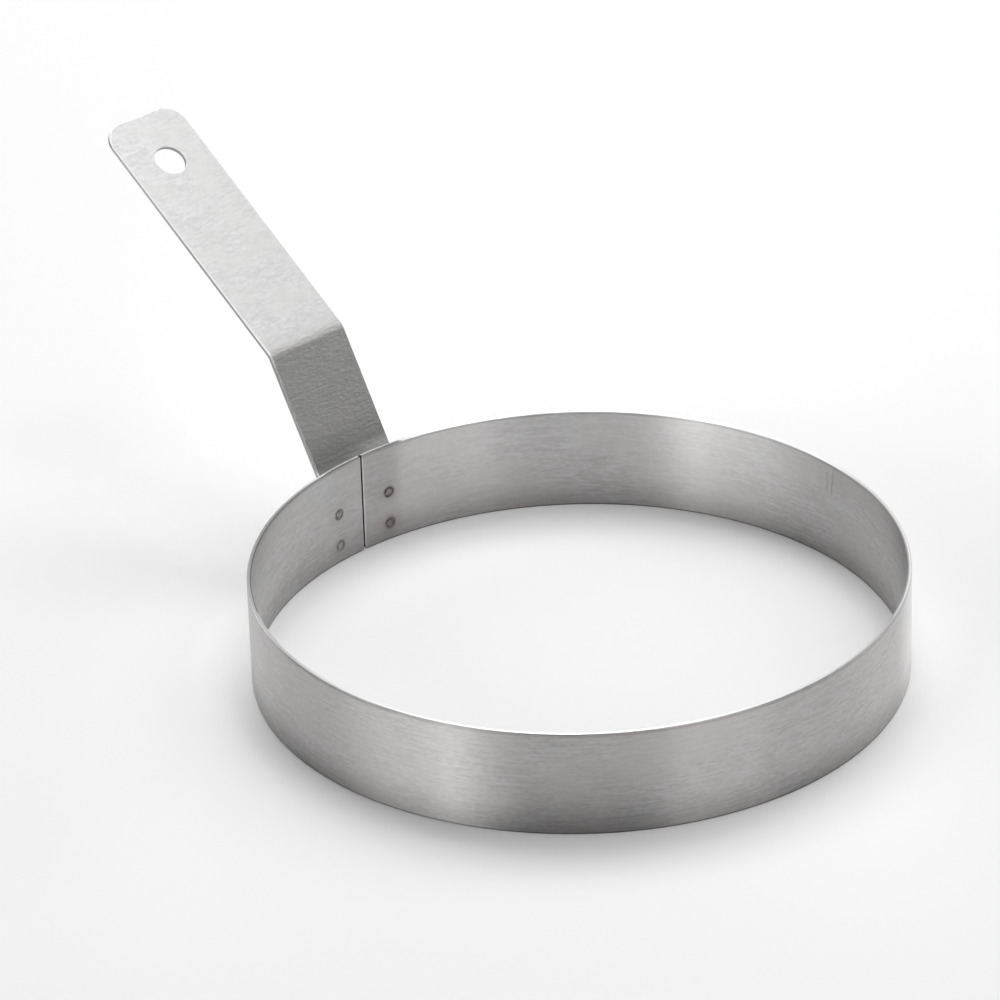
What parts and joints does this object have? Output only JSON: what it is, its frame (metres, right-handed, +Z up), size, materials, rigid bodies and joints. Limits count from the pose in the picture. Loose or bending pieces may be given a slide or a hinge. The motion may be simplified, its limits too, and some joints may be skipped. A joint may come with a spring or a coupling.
{
  "type": "egg ring",
  "caption": "Round frying ring of rolled sheet steel with a bent flat strip handle spot welded over its butt seam.",
  "frame": {"origin": "centre of the ring on the surface that it stands on", "axes": "+Z up along the ring's axis, +X out along the handle"},
  "size_m": [0.2292, 0.1524, 0.0896],
  "materials": {
    "band_steel": "brushed round the ring",
    "handle_steel": "brushed across the strip",
    "weld_steel": "heat tinted by welding"
  },
  "bodies": {
    "root": {"ring_band": "band_steel", "handle": "handle_steel", "spot_welds": "weld_steel"}
  },
  "joints": []
}
